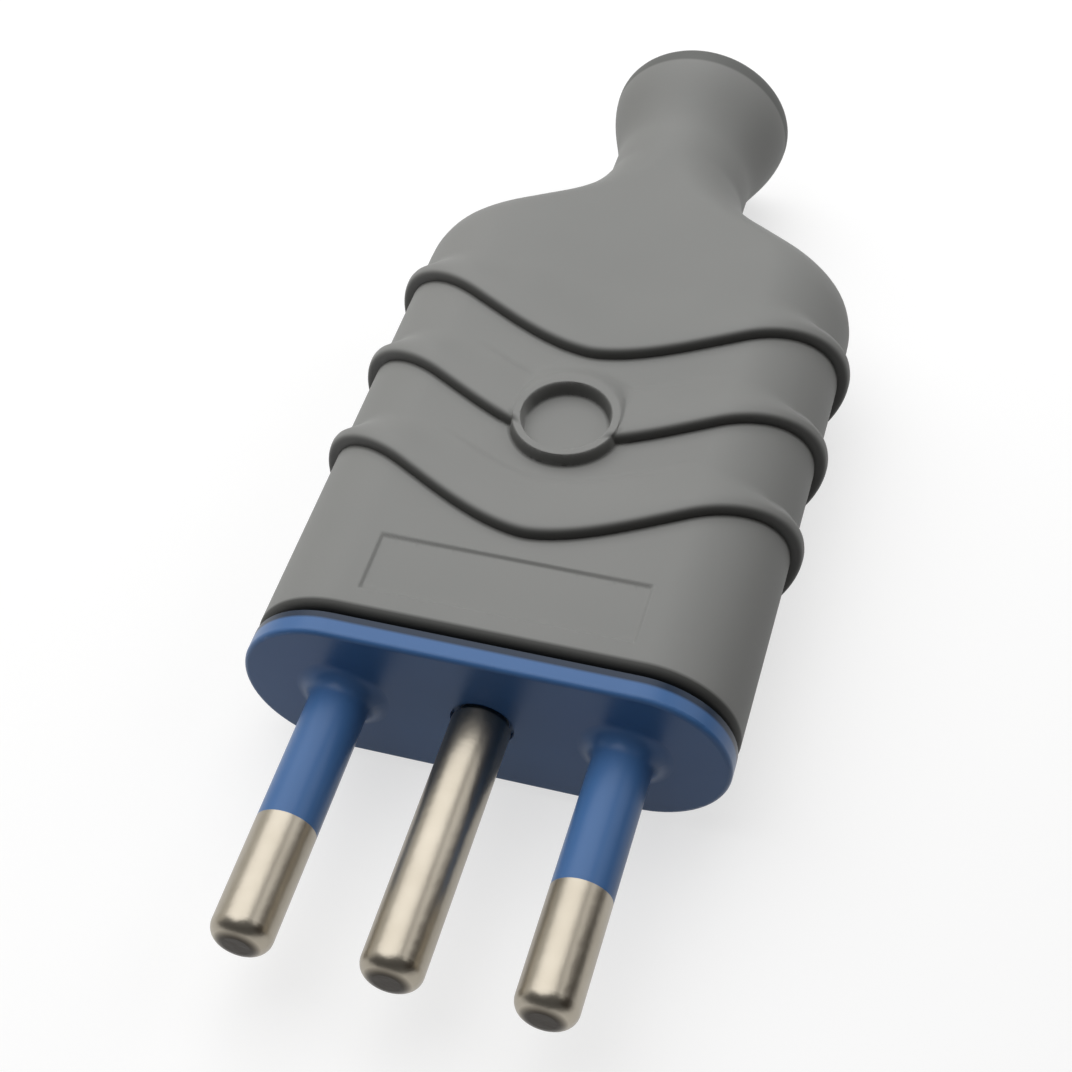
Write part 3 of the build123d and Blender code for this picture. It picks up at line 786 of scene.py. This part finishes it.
# A shank below the origin; its thread is a crest that winds round as it climbs, with a groove beside it
def threadedShank(tree, size, position):
    shank = addNode(tree, "GeometryNodeMeshCylinder", {
        "Vertices": screwShape["shankSides"], "Side Segments": screwShape["shankRings"],
        "Radius": size["Shank Radius"], "Depth": size["Length"]})
    x, y, z = addNode(tree, "ShaderNodeSeparateXYZ", {0: position}).outputs
    angle = addNode(tree, "ShaderNodeMath", {0: y, 1: x}, operation="ARCTAN2").outputs[0]
    turn = addNode(tree, "ShaderNodeMath", {0: angle, 1: 2 * math.pi}, operation="DIVIDE").outputs[0]
    climb = addNode(tree, "ShaderNodeMath", {0: z, 1: size["Thread Pitch"]},
                    operation="DIVIDE").outputs[0]
    phase = addNode(tree, "ShaderNodeMath", {0: climb, 1: turn}, operation="SUBTRACT").outputs[0]
    groove = addNode(tree, "ShaderNodeMath", {0: phase, 1: 0.5}, operation="PINGPONG").outputs[0]
    depth = addNode(tree, "ShaderNodeMath", {0: groove, 1: size["Thread Depth"]},
                    operation="MULTIPLY").outputs[0]
    inwards = addNode(tree, "ShaderNodeMath", {0: depth, 1: -2.0}, operation="MULTIPLY").outputs[0]
    radial = addNode(tree, "ShaderNodeCombineXYZ", {0: x, 1: y}).outputs[0]
    along = addNode(tree, "ShaderNodeVectorMath", {0: radial}, operation="NORMALIZE").outputs[0]
    offset = addNode(tree, "ShaderNodeVectorMath", {0: along, "Scale": inwards},
                     operation="SCALE").outputs[0]
    threaded = addNode(tree, "GeometryNodeSetPosition", {"Geometry": shank.outputs["Mesh"],
                                                         "Offset": offset}).outputs[0]
    half = addNode(tree, "ShaderNodeMath", {0: size["Length"], 1: -0.5}, operation="MULTIPLY").outputs[0]
    down = addNode(tree, "ShaderNodeCombineXYZ", {2: half}).outputs[0]
    return addNode(tree, "GeometryNodeTransform", {"Geometry": threaded, "Translation": down}).outputs[0]


# A head above the origin: a short cylinder drawn in towards its top
def roundedHead(tree, size, position):
    head = addNode(tree, "GeometryNodeMeshCylinder", {
        "Vertices": screwShape["headSides"], "Side Segments": screwShape["headRings"],
        "Fill Segments": screwShape["topRings"], "Radius": size["Head Radius"],
        "Depth": size["Head Height"]})
    x, y, z = addNode(tree, "ShaderNodeSeparateXYZ", {0: position}).outputs
    radial = addNode(tree, "ShaderNodeCombineXYZ", {0: x, 1: y}).outputs[0]
    share = addNode(tree, "ShaderNodeMath", {0: z, 1: size["Head Height"]},
                    operation="DIVIDE").outputs[0]
    topHalf = addNode(tree, "ShaderNodeClamp", {"Value": share, "Min": 0.0, "Max": 0.5}).outputs[0]
    crown = addNode(tree, "ShaderNodeMath", {0: topHalf, 1: screwShape["crownPower"]},
                    operation="POWER").outputs[0]
    draw = addNode(tree, "ShaderNodeMath", {0: crown, 1: -screwShape["crownDraw"]},
                   operation="MULTIPLY").outputs[0]
    rounding = addNode(tree, "ShaderNodeVectorMath", {0: radial, "Scale": draw},
                       operation="SCALE").outputs[0]
    rounded = addNode(tree, "GeometryNodeSetPosition", {"Geometry": head.outputs["Mesh"],
                                                        "Offset": rounding}).outputs[0]
    half = addNode(tree, "ShaderNodeMath", {0: size["Head Height"], 1: 0.5},
                   operation="MULTIPLY").outputs[0]
    up = addNode(tree, "ShaderNodeCombineXYZ", {2: half}).outputs[0]
    return addNode(tree, "GeometryNodeTransform", {"Geometry": rounded, "Translation": up}).outputs[0]


# Joins shank and head, cuts the slot across the head and stands one screw on each point of the piece
def makeScrewTree():
    tree, size = newTree("slottedScrew", screwSizes)
    position = addNode(tree, "GeometryNodeInputPosition").outputs[0]
    shank = threadedShank(tree, size, position)
    both = addNode(tree, "GeometryNodeMeshBoolean", {"Mesh 2": roundedHead(tree, size, position)},
                   operation="UNION", solver="EXACT")
    tree.links.new(shank, both.inputs["Mesh 2"])
    long = addNode(tree, "ShaderNodeMath", {0: size["Head Radius"], 1: 4.0},
                   operation="MULTIPLY").outputs[0]
    deep = addNode(tree, "ShaderNodeMath", {0: size["Slot Depth"], 1: 2.0},
                   operation="MULTIPLY").outputs[0]
    cutterSize = addNode(tree, "ShaderNodeCombineXYZ",
                         {0: long, 1: size["Slot Width"], 2: deep}).outputs[0]
    cutter = addNode(tree, "GeometryNodeMeshCube", {"Size": cutterSize}).outputs["Mesh"]
    top = addNode(tree, "ShaderNodeCombineXYZ", {2: size["Head Height"]}).outputs[0]
    placed = addNode(tree, "GeometryNodeTransform", {"Geometry": cutter, "Translation": top}).outputs[0]
    slotted = addNode(tree, "GeometryNodeMeshBoolean",
                      {"Mesh 1": both.outputs["Mesh"], "Mesh 2": placed},
                      operation="DIFFERENCE", solver="EXACT").outputs["Mesh"]
    standing = addNode(tree, "GeometryNodeInstanceOnPoints", {"Points": size["Geometry"],
                                                              "Instance": slotted})
    endTree(tree, standing.outputs[0], size["Finish"])
    return tree


# Millimetres; the places and the overall height come from the frame
screwKinds = {
    "terminalScrews": {
        "nodes": ("live_terminal_screw", "earth_terminal_screw", "neutral_terminal_screw"),
        "head": 0.75, "headRadius": 1.5, "shankRadius": 1.5, "pitch": 0.5, "depth": 0.22,
    },
    "lidScrews": {
        "nodes": ("left_lid_screw", "right_lid_screw"),
        "head": 0.9, "headRadius": 1.8, "shankRadius": 1.1, "pitch": 0.9, "depth": 0.25,
    },
    "clampScrews": {
        "nodes": ("left_clamp_screw", "right_clamp_screw"),
        "head": 1.7, "headRadius": 2.4, "shankRadius": 1.5, "pitch": 0.5, "depth": 0.22,
    },
}


def makeScrews(name, kind, tree):
    boxes = [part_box(node) for node in kind["nodes"]]
    headHeight = kind["head"] * mm
    heads = [((low[0] + high[0]) / 2, (low[1] + high[1]) / 2, high[2] - headHeight) for low, high in boxes]
    mesh = bpy.data.meshes.new(name)
    mesh.from_pydata(heads, [], [])
    piece = newPiece(name, mesh)
    low, high = boxes[0]
    sizes = {
        "Head Radius": kind["headRadius"] * mm, "Head Height": headHeight,
        "Shank Radius": kind["shankRadius"] * mm, "Length": high[2] - low[2] - headHeight,
        "Slot Width": screwShape["slotWidth"], "Slot Depth": screwShape["slotDepth"],
        "Thread Pitch": kind["pitch"] * mm, "Thread Depth": kind["depth"] * mm,
    }
    bakeTree(piece, tree, sizes, finishes["screw_steel"])
    piece.data.set_sharp_from_angle(angle=math.radians(screwShape["sharpAngle"]))
    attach(piece, "root")
    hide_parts(*kind["nodes"])
    print("screws made:", name, len(heads))


screwTree = makeScrewTree()
for name, kind in screwKinds.items():
    makeScrews(name, kind, screwTree)

# Camera, at the photograph's angle: right and down as seen in it
camera = {
    "place": (0.028774, -0.069328, 0.106918),
    "right": (0.95963, 0.27750, -0.04584),
    "down": (0.18397, -0.74257, -0.64401),
    "lens": 67.97,
    "sensor": 36,
    "nearest": 0.005,
}
right = Vector(camera["right"]).normalized()
down = (Vector(camera["down"]) - Vector(camera["down"]).dot(right) * right).normalized()
turn = Matrix((right, -down, right.cross(-down))).transposed().to_4x4()
cameraData = bpy.data.cameras.new("camera")
cameraData.lens = camera["lens"]
cameraData.sensor_width = camera["sensor"]
cameraData.clip_start = camera["nearest"]
cameraObject = bpy.data.objects.new("camera", cameraData)
cameraObject.matrix_world = Matrix.Translation(camera["place"]) @ turn
bpy.context.scene.collection.objects.link(cameraObject)
bpy.context.scene.camera = cameraObject


# A matt surface of the stage that may also glow
def makeStageShader(tree, colour, glow):
    diffuse = addNode(tree, "ShaderNodeBsdfDiffuse", {"Color": colour})
    emission = addNode(tree, "ShaderNodeEmission", {"Strength": glow})
    both = addNode(tree, "ShaderNodeAddShader", {0: diffuse.outputs[0], 1: emission.outputs[0]})
    addNode(tree, "ShaderNodeOutputMaterial", {"Surface": both.outputs[0]})


def makeSheet(name, corners, material):
    mesh = bpy.data.meshes.new(name)
    mesh.from_pydata(corners, [], [(0, 1, 2, 3)])
    mesh.materials.append(material)
    return mesh


# Floor: seen as near white with a light shadow; what bounces off it is duller, as off a table
floor = {"colour": "#a8a8a8", "bounceColour": "#999999", "glow": 0.66, "z": cadBox[0][2], "size": 3.0}


def makeFloor():
    material, tree = newMaterial("paleFloor")
    path = addNode(tree, "ShaderNodeLightPath").outputs
    seen = addNode(tree, "ShaderNodeMath", {0: path["Is Camera Ray"], 1: path["Is Glossy Ray"]},
                   operation="MAXIMUM").outputs[0]
    seen = addNode(tree, "ShaderNodeMath", {0: seen, 1: path["Is Transmission Ray"]},
                   operation="MAXIMUM").outputs[0]
    colour = addNode(tree, "ShaderNodeMix", {"Factor": seen, 6: linearColour(floor["bounceColour"]),
                                             7: linearColour(floor["colour"])}, data_type="RGBA").outputs[2]
    glow = addNode(tree, "ShaderNodeMath", {0: seen, 1: floor["glow"]}, operation="MULTIPLY").outputs[0]
    makeStageShader(tree, colour, glow)
    half, z = floor["size"] / 2, floor["z"]
    corners = [(-half, -half, z), (half, -half, z), (half, half, z), (-half, half, z)]
    mesh = makeSheet("floor", corners, material)
    newPiece("floor", mesh)


makeFloor()

# Two cards standing out of view: a dark one to the right for the dark flank of the pins and the shaded
# side, and a pale glowing one to the left, a light that the pins reflect as their bright flank
cards = {
    "darkCard": {"colour": "#3a3026", "glow": 0.0, "x": 0.1, "y": (-0.08, 0.05), "top": 0.085},
    "paleCard": {"colour": "#d8d4c8", "glow": 0.45, "x": -0.16, "y": (-0.06, 0.24), "top": 0.1},
}


def makeCard(name, card):
    material, tree = newMaterial(name)
    makeStageShader(tree, linearColour(card["colour"]), card["glow"])
    (near, far), x, low, high = card["y"], card["x"], floor["z"], card["top"]
    mesh = makeSheet(name, [(x, near, low), (x, far, low), (x, far, high), (x, near, high)], material)
    newPiece(name, mesh)


for name, card in cards.items():
    makeCard(name, card)

# Light: a broad lamp overhead, a little to the left, a weak one from the right, and a dim white world
lightAim = (0, 0.02, 0)
worldStrength = 0.12
lights = {
    "overhead": {"place": (-0.13, 0.16, 0.38), "size": 0.56, "power": 2.05},
    "fill": {"place": (0.32, 0.16, 0.22), "size": 0.3, "power": 0.42},
}
for name, light in lights.items():
    data = bpy.data.lights.new(name, "AREA")
    data.shape = "SQUARE"
    data.size = light["size"]
    data.energy = light["power"]
    lamp = bpy.data.objects.new(name, data)
    lamp.location = light["place"]
    lamp.rotation_euler = (Vector(lightAim) - lamp.location).to_track_quat("-Z", "Y").to_euler()
    bpy.context.scene.collection.objects.link(lamp)

world = bpy.data.worlds.new("studio")
world.use_nodes = True
sky = world.node_tree.nodes["Background"].inputs
sky["Color"].default_value = (1, 1, 1, 1)
sky["Strength"].default_value = worldStrength
bpy.context.scene.world = world
bpy.context.scene.view_settings.view_transform = "Standard"
print("camera, floor and lights placed")
